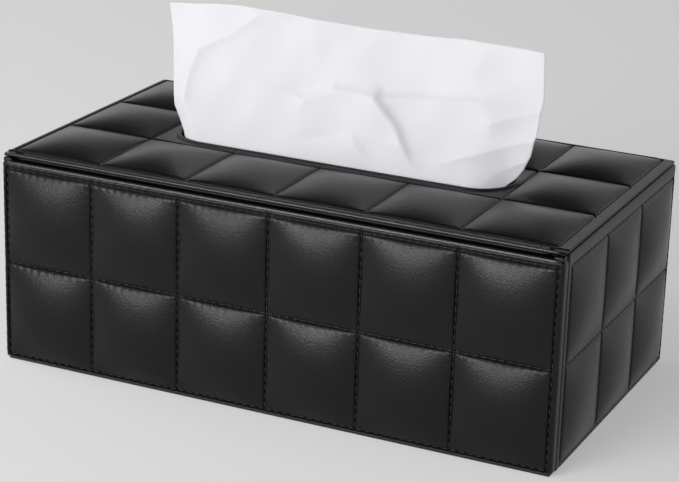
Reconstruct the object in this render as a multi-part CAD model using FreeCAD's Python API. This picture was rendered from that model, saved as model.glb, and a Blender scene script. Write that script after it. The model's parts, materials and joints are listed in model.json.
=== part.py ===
import FreeCAD, Part
import os
from FreeCAD import Vector

# Tissue box cover in quilted leather: a lined box on a felt base, a hinged lid with a long slot,
# and a stack of tissues whose first sheet stands out of the slot.
# Millimetres. +X runs along the length, -Y is the front, +Z is up.
# The origin is the middle of the base, on the surface that the box stands on.

# Outside sizes, over the pressed borders of the covers
box_length = 260.0
box_depth = 142.0
box_height = 96.0

# Layers of the walls, base and lid
wall_board = 3.0
base_board = 3.0
lid_board = 2.5
cover_thick = 1.5
lid_lip_thick = 1.2
turn_thick = 0.8
lining_thick = 0.6
felt_thick = 0.8

# Fits between pieces
lid_gap = 0.3
finger_gap = 1.8
plug_clearance = 0.8
cover_seam_gap = 0.3
lining_drop = 1.0
felt_inset = 1.2
pad_clearance = 0.2
insert_clearance = 0.1
overrun = 5.0
match = 0.01

# Roundings
corner_radius = 2.5
edge_ease = 0.7
lid_front_radius = 7.0
lid_rear_radius = 2.0
lip_ease = 0.4
plug_radius = 3.0

# Quilting: pillows between pressed seams
long_cells = 6
deep_cells = 3
high_cells = 2
long_crown = 3.0
side_crown = 2.3
lid_crown = 2.6
seam_depth = 0.4
seam_rise = 0.05
seam_channel = 0.3
seam_tuck = 0.8
field_floor_share = 0.3
field_back_share = 0.6
station_shares = (0.0, 0.1, 0.32, 0.68, 0.9)
swell_shares = (0.0, 0.48, 1.0, 1.0, 0.48)
pad_inset = 5.0
pad_taper = 6.0
pad_height = 2.3

# Borders between the seams and the edges of each cover
long_end_border = 2.5
front_top_border = 3.2
rear_top_border = 6.4
long_bottom_border = 2.0
side_front_border = 4.2
side_rear_border = 1.8
side_top_border = 6.2
side_bottom_border = 1.0
lid_end_border = 6.2
lid_front_border = 7.5
lid_rear_border = 1.6

# Crease along the front lip of the lid
crease_setback = 3.9
crease_radius = 0.9
crease_depth = 0.45

# Slot and its rolled trim
slot_length = 159.0
slot_width = 33.0
trim_width = 2.3
trim_rise = 0.7
trim_ease = 0.8

# Leather hinge at the rear
hinge_leather = 0.9
hinge_leaf = 5.4
hinge_bead_radius = 1.2
hinge_end_inset = 9.0

# Catch: bar magnets in the side walls, steel strips in the lip of the lid
magnet_length = 20.0
magnet_width = 2.0
magnet_height = 4.0
magnet_setback = 18.0
keeper_width = 3.0
keeper_thick = 0.5

# Folded tissues and the sheet that stands out
stack_length = 200.0
stack_depth = 100.0
stack_height = 68.0
stack_edge_radius = 3.0
sheet_thick = 0.6
sheet_height = 155.0
sheet_clearance = 0.4

# The standing sheet at four heights, from the stack to its top edge: where it starts and ends along
# the slot, how far its three points lean across the slot, and the bulges between them.
sheet_height_shares = (0.0, 0.28, 0.6, 1.0)
sheet_left_shares = (-0.44, -0.46, -0.54, -0.55)
sheet_right_shares = (0.44, 0.47, 0.57, 0.575)
sheet_lean_shares = ((0.0, -0.05, 0.0), (-0.18, -0.38, -0.08), (-0.16, -0.2, -0.1), (0.0, 0.06, 0.08))
sheet_bulge_shares = ((0.02, 0.02), (-0.05, -0.06), (-0.07, 0.04), (-0.08, 0.06))
sheet_span_shares = (0.0, 0.55, 1.0)

# Places that follow from the sizes above
half_length = box_length / 2
half_depth = box_depth / 2
wall_thick = cover_thick + wall_board
inner_half_length = half_length - wall_thick
inner_half_depth = half_depth - wall_thick
base_top = felt_thick + base_board
floor_top = base_top + lining_thick
lip_bottom = box_height - lid_lip_thick
side_top = lip_bottom - lid_gap
front_top = lip_bottom - finger_gap
stack_top = floor_top + stack_height
slot_y = (lid_front_border - lid_rear_border) / 2


def block(x0, x1, y0, y1, z0, z1):
    return Part.makeBox(x1 - x0, y1 - y0, z1 - z0, Vector(x0, y0, z0))


def centred(half_x, half_y, z0, z1):
    return block(-half_x, half_x, -half_y, half_y, z0, z1)


def save(shape, node):
    shape.exportStep("parts/" + node + ".step")


def to_right(shape):
    """Turns a wall built as a front wall so that it faces the right."""
    return shape.rotated(Vector(0, 0, 0), Vector(0, 0, 1), 90)


def to_rear(shape):
    return shape.rotated(Vector(0, 0, 0), Vector(0, 0, 1), 180)


def to_left(shape):
    """Mirrors a right wall to the left."""
    return shape.mirror(Vector(0, 0, 0), Vector(1, 0, 0))


def to_lid(shape):
    """Lays a front wall's quilting on its back, so that it faces up."""
    return shape.rotated(Vector(0, 0, 0), Vector(1, 0, 0), -90)


def edges_along(shape, direction, test):
    """Straight edges along a direction whose middle passes the test."""
    found = []
    for edge in shape.Edges:
        if not isinstance(edge.Curve, Part.Line):
            continue
        along = abs(edge.tangentAt(edge.FirstParameter).dot(direction))
        if near(along, 1) and test(edge.CenterOfMass):
            found.append(edge)
    return found


def near(value, target):
    return abs(value - target) < match


def seam_places(start, end, cells):
    step = (end - start) / cells
    return [start + step * i for i in range(cells + 1)]


def cells_between(columns, rows, skip=()):
    """Corners of each quilted cell, left to right and bottom to top."""
    found = []
    for j in range(len(rows) - 1):
        for i in range(len(columns) - 1):
            if (i, j) not in skip:
                found.append((columns[i], columns[i + 1], rows[j], rows[j + 1]))
    return found


def field_section(z, columns, rises, seam, back):
    """Outline across a quilted field at one height: a row of arcs between tabs, and the back."""
    left = columns[0] - seam_tuck
    right = columns[-1] + seam_tuck
    start = Vector(columns[0], seam, z)
    end = Vector(columns[-1], seam, z)
    edges = [Part.makeLine(Vector(left, back, z), Vector(left, seam, z)),
             Part.makeLine(Vector(left, seam, z), start)]
    for i, rise in enumerate(rises):
        middle = Vector((columns[i] + columns[i + 1]) / 2, seam - rise, z)
        arc = Part.Arc(Vector(columns[i], seam, z), middle, Vector(columns[i + 1], seam, z))
        edges.append(arc.toShape())
    edges += [Part.makeLine(end, Vector(right, seam, z)),
              Part.makeLine(Vector(right, seam, z), Vector(right, back, z)),
              Part.makeLine(Vector(right, back, z), Vector(left, back, z))]
    return Part.Wire(edges)


def quilt_field(columns, rows, face, thick, crown, flat=()):
    """Sheet of pillows that swell towards -Y between pressed seams. Flat cells stay pressed."""
    seam = face + seam_depth
    back = seam + (thick - seam_depth) * field_back_share
    count = len(columns) - 1
    pressed = [seam_rise] * count
    sections = [field_section(rows[0] - seam_tuck, columns, pressed, seam, back)]
    for j in range(len(rows) - 1):
        full = [0 if (i, j) in flat else crown + seam_depth for i in range(count)]
        for share, swell_share in zip(station_shares, swell_shares):
            z = rows[j] + (rows[j + 1] - rows[j]) * share
            rises = [seam_rise + height * swell_share for height in full]
            sections.append(field_section(z, columns, rises, seam, back))
    sections.append(field_section(rows[-1], columns, pressed, seam, back))
    sections.append(field_section(rows[-1] + seam_tuck, columns, pressed, seam, back))
    return Part.makeLoft(sections, True, True)


def quilt_pocket(columns, rows, face, thick):
    """Room for a quilted field in a cover's sheet, a little wider than its outer seams."""
    floor = face + seam_depth + (thick - seam_depth) * field_floor_share
    return block(columns[0] - seam_channel, columns[-1] + seam_channel, face - overrun, floor,
                 rows[0] - seam_channel, rows[-1] + seam_channel)


def pad(cell, back, clearance):
    """Tapered sponge pad behind a pillow, its broad face on the back plane."""
    left, right, low, high = cell
    broad = pad_inset + clearance
    narrow = broad + pad_taper
    outer = back - pad_height + clearance
    return Part.makeWedge(left + narrow, outer, low + narrow, low + broad, left + broad,
                          right - narrow, back, high - narrow, high - broad, right - broad)


def pads(cells, back):
    return [pad(cell, back, pad_clearance) for cell in cells]


def quilted(sheet, seams, face, crown):
    """A wall cover's sheet with its pillows, hollowed behind each pillow for the pad."""
    columns, rows = seams
    swollen = sheet.cut(quilt_pocket(columns, rows, face, cover_thick))
    swollen = swollen.fuse(quilt_field(columns, rows, face, cover_thick, crown))
    return swollen.cut([pad(cell, face + cover_thick, 0) for cell in cells_between(columns, rows)])


def long_seams(half_width, high):
    """Columns and rows of a long wall's seams, from its bottom border up to a height."""
    columns = seam_places(-half_width, half_width, long_cells)
    return columns, seam_places(felt_thick + long_bottom_border, high, high_cells)


def front_seams():
    return long_seams(half_length - long_end_border, front_top - front_top_border)


def rear_seams():
    return long_seams(half_length - cover_thick - long_end_border, side_top - rear_top_border)


def side_seams():
    """Seams of a side wall, built as a front wall whose left end is the box's front."""
    start = -inner_half_depth + cover_seam_gap + side_front_border
    columns = seam_places(start, half_depth - side_rear_border, deep_cells)
    return columns, seam_places(felt_thick + side_bottom_border, side_top - side_top_border, high_cells)


def lid_seams():
    """Seams of the lid, built as a front wall."""
    half_width = half_length - lid_end_border
    columns = seam_places(-half_width, half_width, long_cells)
    return columns, seam_places(-half_depth + lid_front_border, half_depth - lid_rear_border, deep_cells)


def slot_cells():
    """Cells of the middle row that the slot and its trim run into."""
    columns, rows = lid_seams()
    reach = slot_length / 2 + trim_width + insert_clearance
    middle = len(rows) // 2 - 1
    return [(i, middle) for i in range(long_cells) if columns[i] < reach and columns[i + 1] > -reach]


def lid_cells():
    return cells_between(*lid_seams(), slot_cells())


def front_cover():
    """Front sheet wrapped round both ends of its board and turned over the board's top edge."""
    face = -half_depth
    sheet = block(-half_length, half_length, face, -inner_half_depth, felt_thick, front_top)
    upright = edges_along(sheet, Vector(0, 0, 1), lambda p: near(p.y, face))
    sheet = sheet.makeFillet(corner_radius, upright)
    top = edges_along(sheet, Vector(1, 0, 0), lambda p: near(p.z, front_top) and near(p.y, face))
    sheet = sheet.makeChamfer(edge_ease, top)
    hollow = block(-half_length + cover_thick, half_length - cover_thick, face + cover_thick,
                   -inner_half_depth + overrun, felt_thick - overrun, front_top - turn_thick)
    return quilted(sheet.cut(hollow), front_seams(), face, long_crown)


def rear_cover():
    """Rear sheet between the side covers, turned over the board's top edge. Built as a front wall."""
    face = -half_depth
    half_width = half_length - cover_thick - cover_seam_gap
    sheet = block(-half_width, half_width, face, -inner_half_depth, felt_thick, side_top)
    hollow = block(-half_length, half_length, face + cover_thick, -inner_half_depth + overrun,
                   felt_thick - overrun, side_top - turn_thick)
    return quilted(sheet.cut(hollow), rear_seams(), face, long_crown)


def side_cover():
    """Side sheet from the front wall to the rear corner, turned over its board. Built as a front wall."""
    face = -half_length
    start = -inner_half_depth + cover_seam_gap
    sheet = block(start, half_depth, face, face + wall_thick, felt_thick, side_top)
    top = edges_along(sheet, Vector(1, 0, 0), lambda p: near(p.z, side_top) and near(p.y, face))
    sheet = sheet.makeChamfer(edge_ease, top)
    back = face + cover_thick
    hollow = block(start - overrun, half_depth + overrun, back, back + wall_board + overrun,
                   felt_thick - overrun, side_top - turn_thick)
    rear_corner = block(inner_half_depth - cover_seam_gap, half_depth + overrun, back,
                        back + wall_board + overrun, felt_thick - overrun, side_top + overrun)
    return quilted(sheet.cut([hollow, rear_corner]), side_seams(), face, side_crown)


def stadium(length, width, z0, z1):
    """Round-ended plate over the slot."""
    radius = width / 2
    straight = length / 2 - radius
    low = slot_y - radius
    high = slot_y + radius
    edges = [Part.makeLine(Vector(-straight, low, z0), Vector(straight, low, z0)),
             Part.Arc(Vector(straight, low, z0), Vector(straight + radius, slot_y, z0),
                      Vector(straight, high, z0)).toShape(),
             Part.makeLine(Vector(straight, high, z0), Vector(-straight, high, z0)),
             Part.Arc(Vector(-straight, high, z0), Vector(-straight - radius, slot_y, z0),
                      Vector(-straight, low, z0)).toShape()]
    return Part.Face(Part.Wire(edges)).extrude(Vector(0, 0, z1 - z0))


def slot_hole():
    """The slot as cut through the board, cover and lining, to take the trim."""
    grown = 2 * (trim_width + insert_clearance)
    return stadium(slot_length + grown, slot_width + grown, felt_thick, box_height + overrun)


def slot_trim():
    """Turned leather rim that lines the slot, eased along both top edges."""
    low = lip_bottom - lid_board - lining_thick
    high = box_height + trim_rise
    outer = stadium(slot_length + 2 * trim_width, slot_width + 2 * trim_width, low, high)
    ring = outer.cut(stadium(slot_length, slot_width, low - overrun, high + overrun))
    return ring.makeChamfer(trim_ease, [edge for edge in ring.Edges if near(edge.BoundBox.ZMin, high)])


def crease():
    """Round-bottomed groove that sets off the front lip of the lid."""
    reach = half_length - lid_front_radius
    y = -half_depth + crease_setback
    z = box_height + crease_radius - crease_depth
    groove = Part.makeCylinder(crease_radius, 2 * reach, Vector(-reach, y, z), Vector(1, 0, 0))
    ends = [Part.makeSphere(crease_radius, Vector(x, y, z)) for x in (-reach, reach)]
    return groove.fuse(ends)


def lid_cover():
    """Lid sheet with a thin lip over the wall tops, pillows, the slot and the front crease."""
    sheet = centred(half_length, half_depth, lip_bottom, box_height)
    front = edges_along(sheet, Vector(0, 0, 1), lambda p: p.y < 0)
    sheet = sheet.makeFillet(lid_front_radius, front)
    rear = edges_along(sheet, Vector(0, 0, 1), lambda p: near(p.y, half_depth))
    sheet = sheet.makeFillet(lid_rear_radius, rear)
    rim = [edge for edge in sheet.Edges if near(edge.BoundBox.ZMin, edge.BoundBox.ZMax)]
    sheet = sheet.makeChamfer(lip_ease, rim)
    columns, rows = lid_seams()
    pocket = quilt_pocket(columns, rows, -box_height, lid_lip_thick)
    field = quilt_field(columns, rows, -box_height, lid_lip_thick, lid_crown, slot_cells())
    swollen = sheet.cut(to_lid(pocket)).fuse(to_lid(field))
    hollows = [to_lid(pad(cell, -lip_bottom, 0)) for cell in lid_cells()]
    return swollen.cut(hollows + [slot_hole(), crease()] + keepers(insert_clearance))


def lid_plug():
    """Outline of the lid's board and lining, which drop between the linings of the walls."""
    half_x = inner_half_length - lining_thick - plug_clearance
    half_y = inner_half_depth - lining_thick - plug_clearance
    low = lip_bottom - lid_board - lining_thick
    plug = centred(half_x, half_y, low, lip_bottom)
    upright = edges_along(plug, Vector(0, 0, 1), lambda p: True)
    return plug.makeFillet(plug_radius, upright).cut(slot_hole())


def magnets(clearance):
    """Bar magnets in the top edges of the two side boards."""
    start = -inner_half_depth + magnet_setback - clearance
    end = start + magnet_length + 2 * clearance
    top = side_top - turn_thick
    middle = half_length - cover_thick - wall_board / 2
    reach = magnet_width / 2 + clearance
    bar = block(middle - reach, middle + reach, start, end, top - magnet_height - clearance, top)
    return [bar, to_left(bar)]


def keepers(clearance):
    """Steel strips let into the underside of the lip, over the magnets."""
    start = -inner_half_depth + magnet_setback - clearance
    end = start + magnet_length + 2 * clearance
    middle = half_length - cover_thick - wall_board / 2
    reach = keeper_width / 2 + clearance
    top = lip_bottom + keeper_thick + clearance
    strip = block(middle - reach, middle + reach, start, end, lip_bottom, top)
    return [strip, to_left(strip)]


def hinge_strip():
    """Leather spine: a leaf on the rear wall, a leaf on the lid's rear edge and a rolled fold between."""
    reach = half_length - hinge_end_inset
    outer = half_depth + hinge_leather
    axis_z = (side_top + lip_bottom) / 2
    axis_y = half_depth + hinge_leather / 2
    leaves = block(-reach, reach, half_depth, outer, side_top - hinge_leaf, box_height - lip_ease)
    fold = Part.makeCylinder(hinge_bead_radius, 2 * reach, Vector(-reach, axis_y, axis_z), Vector(1, 0, 0))
    behind = block(-half_length, half_length, half_depth, half_depth + overrun, 0, box_height)
    return leaves.fuse(fold.common(behind)).removeSplitter()


def tissue_stack():
    """Folded tissues, with softened edges, on the floor of the box."""
    stack = centred(stack_length / 2, stack_depth / 2, floor_top, stack_top)
    long_edges = edges_along(stack, Vector(1, 0, 0), lambda p: True)
    return stack.makeFillet(stack_edge_radius, long_edges)


def sheet_section(index):
    """Outline of the sheet at one height: a wavy face, an end, the same face behind, an end."""
    low = stack_top + sheet_clearance
    z = low + (sheet_height - low) * sheet_height_shares[index]
    left = slot_length * sheet_left_shares[index]
    right = slot_length * sheet_right_shares[index]
    leans = sheet_lean_shares[index]
    points = [Vector(left + (right - left) * span, slot_y + slot_width * lean, z)
              for span, lean in zip(sheet_span_shares, leans)]
    behind = Vector(0, sheet_thick, 0)
    fronts = []
    for i, bulge in enumerate(sheet_bulge_shares[index]):
        middle = (points[i] + points[i + 1]) / 2 + Vector(0, slot_width * bulge, 0)
        fronts.append(Part.Arc(points[i], middle, points[i + 1]).toShape())
    backs = [edge.translated(behind) for edge in fronts]
    left_end = Part.makeLine(points[0] + behind, points[0])
    right_end = Part.makeLine(points[-1], points[-1] + behind)
    return Part.Wire(Part.__sortEdges__(fronts + [right_end] + backs[::-1] + [left_end]))


def tissue_sheet():
    """Tissue that stands out of the slot: gathered in the slot, flared and gently folded above it."""
    return Part.makeLoft([sheet_section(i) for i in range(len(sheet_height_shares))], True, True)


def save_walls():
    board_half = half_length - cover_thick
    front_board_top = front_top - turn_thick
    side_board_top = side_top - turn_thick
    save(front_cover(), "front_cover")
    save(to_rear(rear_cover()), "rear_cover")
    right = to_right(side_cover())
    save(right, "right_cover")
    save(to_left(right), "left_cover")
    back = -half_depth + cover_thick
    save(Part.makeCompound(pads(cells_between(*front_seams()), back)), "front_padding")
    save(to_rear(Part.makeCompound(pads(cells_between(*rear_seams()), back))), "rear_padding")
    right_pads = to_right(Part.makeCompound(pads(cells_between(*side_seams()), -half_length + cover_thick)))
    save(right_pads, "right_padding")
    save(to_left(right_pads), "left_padding")
    save(block(-board_half, board_half, back, -inner_half_depth, base_top, front_board_top), "front_board")
    save(block(-board_half, board_half, inner_half_depth, -back, base_top, side_board_top), "rear_board")
    side = block(inner_half_length, board_half, -inner_half_depth, inner_half_depth,
                 base_top, side_board_top)
    side = side.cut(magnets(insert_clearance))
    save(side, "right_board")
    save(to_left(side), "left_board")
    save(Part.makeCompound(magnets(0)), "wall_magnets")


def save_base():
    save(centred(half_length - felt_inset, half_depth - felt_inset, 0, felt_thick), "base_felt")
    save(centred(half_length - cover_thick, half_depth - cover_thick, felt_thick, base_top), "base_board")


def save_linings():
    end = inner_half_length
    inner = inner_half_depth - lining_thick
    save(block(-end, end, -inner_half_depth, -inner, base_top, front_top - lining_drop), "front_lining")
    save(block(-end, end, inner, inner_half_depth, base_top, side_top - lining_drop), "rear_lining")
    side = block(end - lining_thick, end, -inner, inner, base_top, side_top - lining_drop)
    save(side, "right_lining")
    save(to_left(side), "left_lining")
    save(centred(end - lining_thick, inner, base_top, floor_top), "base_lining")


def save_lid():
    plug = lid_plug()
    parting = lip_bottom - lid_board
    upper = centred(box_length, box_depth, parting, box_height)
    save(lid_cover(), "lid_cover")
    save(plug.common(upper), "lid_board")
    save(plug.cut(upper), "lid_lining")
    lid_pads = [to_lid(shape) for shape in pads(lid_cells(), -lip_bottom)]
    save(Part.makeCompound(lid_pads), "lid_padding")
    save(slot_trim(), "slot_trim")
    save(Part.makeCompound(keepers(0)), "lid_keepers")
    save(hinge_strip(), "hinge_strip")


def save_tissues():
    save(tissue_stack(), "tissue_stack")
    save(tissue_sheet(), "tissue_sheet")


os.makedirs("parts", exist_ok=True)
save_base()
save_walls()
save_linings()
save_lid()
save_tissues()
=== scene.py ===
import json
import math

import bmesh
import bpy
import numpy as np
from mathutils import Matrix, Vector


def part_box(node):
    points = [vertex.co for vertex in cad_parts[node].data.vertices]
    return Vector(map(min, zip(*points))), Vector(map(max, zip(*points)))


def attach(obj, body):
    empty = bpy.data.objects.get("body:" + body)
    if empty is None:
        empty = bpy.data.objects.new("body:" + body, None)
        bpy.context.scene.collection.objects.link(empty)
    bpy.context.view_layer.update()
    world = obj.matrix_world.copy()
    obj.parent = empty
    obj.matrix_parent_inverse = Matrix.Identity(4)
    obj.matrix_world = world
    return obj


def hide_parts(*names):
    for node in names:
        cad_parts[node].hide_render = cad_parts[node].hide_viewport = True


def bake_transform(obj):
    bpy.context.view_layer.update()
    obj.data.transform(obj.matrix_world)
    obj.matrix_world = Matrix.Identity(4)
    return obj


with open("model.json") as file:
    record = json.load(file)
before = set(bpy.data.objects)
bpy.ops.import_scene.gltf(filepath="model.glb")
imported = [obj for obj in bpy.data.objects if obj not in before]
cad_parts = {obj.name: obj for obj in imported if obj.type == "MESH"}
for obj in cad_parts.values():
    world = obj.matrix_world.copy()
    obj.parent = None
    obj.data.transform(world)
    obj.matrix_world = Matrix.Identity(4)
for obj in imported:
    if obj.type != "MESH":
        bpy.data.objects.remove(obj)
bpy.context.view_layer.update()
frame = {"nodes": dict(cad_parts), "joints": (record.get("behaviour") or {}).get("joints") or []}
nodes = frame["nodes"]
mm = 0.001  # sizes below are in millimetres, meshes in metres
tiny, nearZero, far = 1e-6, 1e-9, 1e9


def nodeBox(name):
    low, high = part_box(name)
    return np.array(low) / mm, np.array(high) / mm


# Shader helpers

def blankMaterial(name):
    material = bpy.data.materials.new(name)
    material.use_nodes = True
    return material, material.node_tree, material.node_tree.nodes["Principled BSDF"]


def setInputs(node, values):
    for key, value in values.items():
        node.inputs[key].default_value = value


def addNode(tree, kind, values=None, **settings):
    node = tree.nodes.new(kind)
    for key, value in settings.items():
        setattr(node, key, value)
    setInputs(node, values or {})
    return node


def objectCoords(tree, stretch=(1, 1, 1)):
    coords = addNode(tree, "ShaderNodeTexCoord")
    mapping = addNode(tree, "ShaderNodeMapping", {"Scale": stretch})
    tree.links.new(coords.outputs["Object"], mapping.inputs["Vector"])
    return mapping.outputs["Vector"]


def noise(tree, vector, scale, detail=3.0, roughness=0.55, distortion=0.0):
    node = addNode(tree, "ShaderNodeTexNoise",
                   {"Scale": scale, "Detail": detail, "Roughness": roughness, "Distortion": distortion})
    tree.links.new(vector, node.inputs["Vector"])
    return node.outputs["Fac"]


def remap(tree, value, low, high, fromLow=0.0, fromHigh=1.0):
    node = addNode(tree, "ShaderNodeMapRange",
                   {"From Min": fromLow, "From Max": fromHigh, "To Min": low, "To Max": high})
    tree.links.new(value, node.inputs["Value"])
    return node.outputs["Result"]


def combine(tree, first, second, share):  # the first value and a share of the second
    scaled = addNode(tree, "ShaderNodeMath", {1: share}, operation="MULTIPLY")
    tree.links.new(second, scaled.inputs[0])
    node = addNode(tree, "ShaderNodeMath", operation="ADD")
    tree.links.new(first, node.inputs[0])
    tree.links.new(scaled.outputs[0], node.inputs[1])
    return node.outputs[0]


def paint(tree, shader, factor, finish):  # from the finish's dark colour to its light one
    node = addNode(tree, "ShaderNodeMix", data_type="RGBA")
    node.inputs["A"].default_value = (*finish["dark"], 1)
    node.inputs["B"].default_value = (*finish["light"], 1)
    tree.links.new(factor, node.inputs["Factor"])
    tree.links.new(node.outputs["Result"], shader.inputs["Base Color"])


def addBump(tree, shader, height, strength, depth):
    node = addNode(tree, "ShaderNodeBump", {"Strength": strength, "Distance": depth * mm})
    tree.links.new(height, node.inputs["Height"])
    tree.links.new(node.outputs["Normal"], shader.inputs["Normal"])


# Leather: pebbled grain, soft mottling of the gloss, a little wear in the colour
grain = {"pebble": 1150, "spread": 0.9, "pebbleShare": -0.9, "fold": 420, "foldGloss": 0.06,
         "fine": 2600, "fineShare": 0.25, "cloud": 38}
quiltFinish = {"dark": (0.0030, 0.0030, 0.0033), "light": (0.0060, 0.0057, 0.0060),
               "matt": 0.34, "gloss": 0.26, "shine": 0.215, "grain": 1.3, "bump": 0.42, "depth": 0.16}
edgeFinish = {"dark": (0.0040, 0.0040, 0.0044), "light": (0.0085, 0.0082, 0.0085),
              "matt": 0.42, "gloss": 0.32, "shine": 0.30, "grain": 1.25, "bump": 0.45, "depth": 0.14}
weltFinish = {**edgeFinish, "matt": 0.32, "gloss": 0.24, "shine": 0.6}
hingeFinish = {"dark": (0.0045, 0.0045, 0.0045), "light": (0.0085, 0.0085, 0.0085),
               "matt": 0.55, "gloss": 0.45, "shine": 0.30, "grain": 1.1, "bump": 0.40, "depth": 0.16}


def leather(name, finish):
    material, tree, shader = blankMaterial(name)
    vector = objectCoords(tree)
    pebbleSize = {"Scale": grain["pebble"] * finish["grain"], "Randomness": grain["spread"]}
    pebble = addNode(tree, "ShaderNodeTexVoronoi", pebbleSize, feature="SMOOTH_F1")
    tree.links.new(vector, pebble.inputs["Vector"])
    fold = noise(tree, vector, grain["fold"] * finish["grain"], detail=4.0, roughness=0.6, distortion=0.4)
    fine = noise(tree, vector, grain["fine"], detail=2.0)
    height = combine(tree, fold, pebble.outputs["Distance"], grain["pebbleShare"])
    addBump(tree, shader, combine(tree, height, fine, grain["fineShare"]), finish["bump"], finish["depth"])
    cloudy = noise(tree, vector, grain["cloud"])
    paint(tree, shader, cloudy, finish)
    gloss = remap(tree, cloudy, finish["matt"], finish["gloss"], fromLow=0.3, fromHigh=0.7)
    tree.links.new(combine(tree, gloss, fold, grain["foldGloss"]), shader.inputs["Roughness"])
    setInputs(shader, {"Specular IOR Level": finish["shine"]})
    return material


# Thread: twisted strands across a dark colour
threadFinish = {"dark": (0.003, 0.003, 0.0035), "light": (0.012, 0.012, 0.012), "rough": 0.55, "twist": 5200}


def thread():
    material, tree, shader = blankMaterial("quiltThread")
    strands = noise(tree, objectCoords(tree), threadFinish["twist"], detail=2.0)
    paint(tree, shader, strands, threadFinish)
    addBump(tree, shader, strands, strength=0.5, depth=0.1)
    setInputs(shader, {"Roughness": threadFinish["rough"]})
    return material


# Tissue: soft white paper with crossed fibres, faint emboss and a little light through it
paperFinish = {"dark": (0.70, 0.70, 0.73), "light": (0.76, 0.76, 0.79), "fibre": 900, "fibreShare": 0.7,
               "emboss": 260, "cloud": 30}
paperLooks = {"Roughness": 0.9, "Specular IOR Level": 0.15, "Sheen Weight": 0.12, "Subsurface Weight": 0.18,
              "Subsurface Radius": (0.004, 0.004, 0.004), "Subsurface Scale": 0.4}


def paper(name, stretch=(1, 1, 1)):
    material, tree, shader = blankMaterial(name)
    vector = objectCoords(tree, stretch)
    fibre = noise(tree, vector, paperFinish["fibre"], detail=5.0, roughness=0.7, distortion=1.5)
    crepe = noise(tree, vector, paperFinish["emboss"])
    paint(tree, shader, noise(tree, vector, paperFinish["cloud"], detail=2.0), paperFinish)
    height = combine(tree, crepe, fibre, paperFinish["fibreShare"])
    addBump(tree, shader, height, strength=0.30, depth=0.12)
    setInputs(shader, paperLooks)
    return material


# Lining cloth and felt: short nap in soft patches
liningFinish = {"dark": (0.012, 0.012, 0.013), "light": (0.040, 0.039, 0.040), "fibre": 1500, "rough": 0.95}
feltFinish = {"dark": (0.010, 0.010, 0.010), "light": (0.035, 0.034, 0.034), "fibre": 700, "rough": 1.0}
nap = {"patch": 45, "patchShare": 0.5, "sheen": 0.35, "shine": 0.2}


def napped(name, finish):
    material, tree, shader = blankMaterial(name)
    vector = objectCoords(tree)
    fibres = noise(tree, vector, finish["fibre"], detail=5.0, roughness=0.75, distortion=2.0)
    tone = combine(tree, fibres, noise(tree, vector, nap["patch"]), nap["patchShare"])
    paint(tree, shader, remap(tree, tone, 0, 1, fromLow=0.4, fromHigh=1.1), finish)
    addBump(tree, shader, fibres, strength=0.6, depth=0.3)
    setInputs(shader, {"Roughness": finish["rough"], "Sheen Weight": nap["sheen"],
                       "Specular IOR Level": nap["shine"]})
    return material


# Board, sponge and metal under the covers
boardFinish = {"dark": (0.20, 0.135, 0.085), "light": (0.40, 0.30, 0.20), "chip": 700,
               "stretch": (1, 1, 2.5), "rough": 0.85}
# the sponge's dark colour goes into the pits of its cells: painted shade in the pores
spongeFinish = {"dark": (0.52, 0.49, 0.40), "light": (0.78, 0.75, 0.66), "cell": 900, "rough": 0.95}
nickelFinish = {"colour": (0.66, 0.65, 0.63), "low": 0.18, "high": 0.32, "stretch": (1, 1, 1), "brush": 2200}
steelFinish = {"colour": (0.50, 0.50, 0.51), "low": 0.28, "high": 0.48, "stretch": (1, 0.05, 1), "brush": 2200}


def fibreboard():
    material, tree, shader = blankMaterial("pressedBoard")
    vector = objectCoords(tree, boardFinish["stretch"])
    chips = noise(tree, vector, boardFinish["chip"], detail=6.0, roughness=0.7, distortion=0.8)
    paint(tree, shader, chips, boardFinish)
    addBump(tree, shader, chips, strength=0.35, depth=0.2)
    setInputs(shader, {"Roughness": boardFinish["rough"]})
    return material


def sponge():
    material, tree, shader = blankMaterial("spongeFoam")
    cells = addNode(tree, "ShaderNodeTexVoronoi", {"Scale": spongeFinish["cell"]})
    tree.links.new(objectCoords(tree), cells.inputs["Vector"])
    # darker where the bump sinks into each cell: painted shade in the pores, over the foam's own lighter
    # colour
    paint(tree, shader, cells.outputs["Distance"], spongeFinish)
    addBump(tree, shader, cells.outputs["Distance"], strength=0.7, depth=0.4)
    setInputs(shader, {"Roughness": spongeFinish["rough"]})
    return material


def metal(name, finish):
    material, tree, shader = blankMaterial(name)
    brushing = noise(tree, objectCoords(tree, finish["stretch"]), finish["brush"])
    tree.links.new(remap(tree, brushing, finish["low"], finish["high"]), shader.inputs["Roughness"])
    addBump(tree, shader, brushing, strength=0.12, depth=0.05)
    setInputs(shader, {"Base Color": (*finish["colour"], 1), "Metallic": 1.0})
    return material
quiltLeather = leather("quiltLeather", quiltFinish)
edgeLeather = leather("edgeLeather", edgeFinish)
weltLeather = leather("weltLeather", weltFinish)
hingeLeather = leather("hingeLeather", hingeFinish)
quiltThread = thread()
tissuePaper = paper("tissuePaper")
stackPaper = paper("stackPaper", (1, 1, 6))
liningCloth = napped("liningCloth", liningFinish)
baseFelt = napped("baseFelt", feltFinish)
pressedBoard = fibreboard()
spongeFoam = sponge()
magnetNickel = metal("magnetNickel", nickelFinish)
keeperSteel = metal("keeperSteel", steelFinish)
print("materials:", len(bpy.data.materials))


# Mesh helpers

def makePiece(name, points, faces, material):
    mesh = bpy.data.meshes.new(name)
    mesh.from_pydata([tuple(p) for p in np.asarray(points) * mm], [], faces)
    mesh.materials.append(material)
    piece = bpy.data.objects.new(name, mesh)
    bpy.context.scene.collection.objects.link(piece)
    smoothFaces(piece)
    return piece


def smoothFaces(piece):
    piece.data.polygons.foreach_set("use_smooth", [True] * len(piece.data.polygons))
    piece.data.update()


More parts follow.
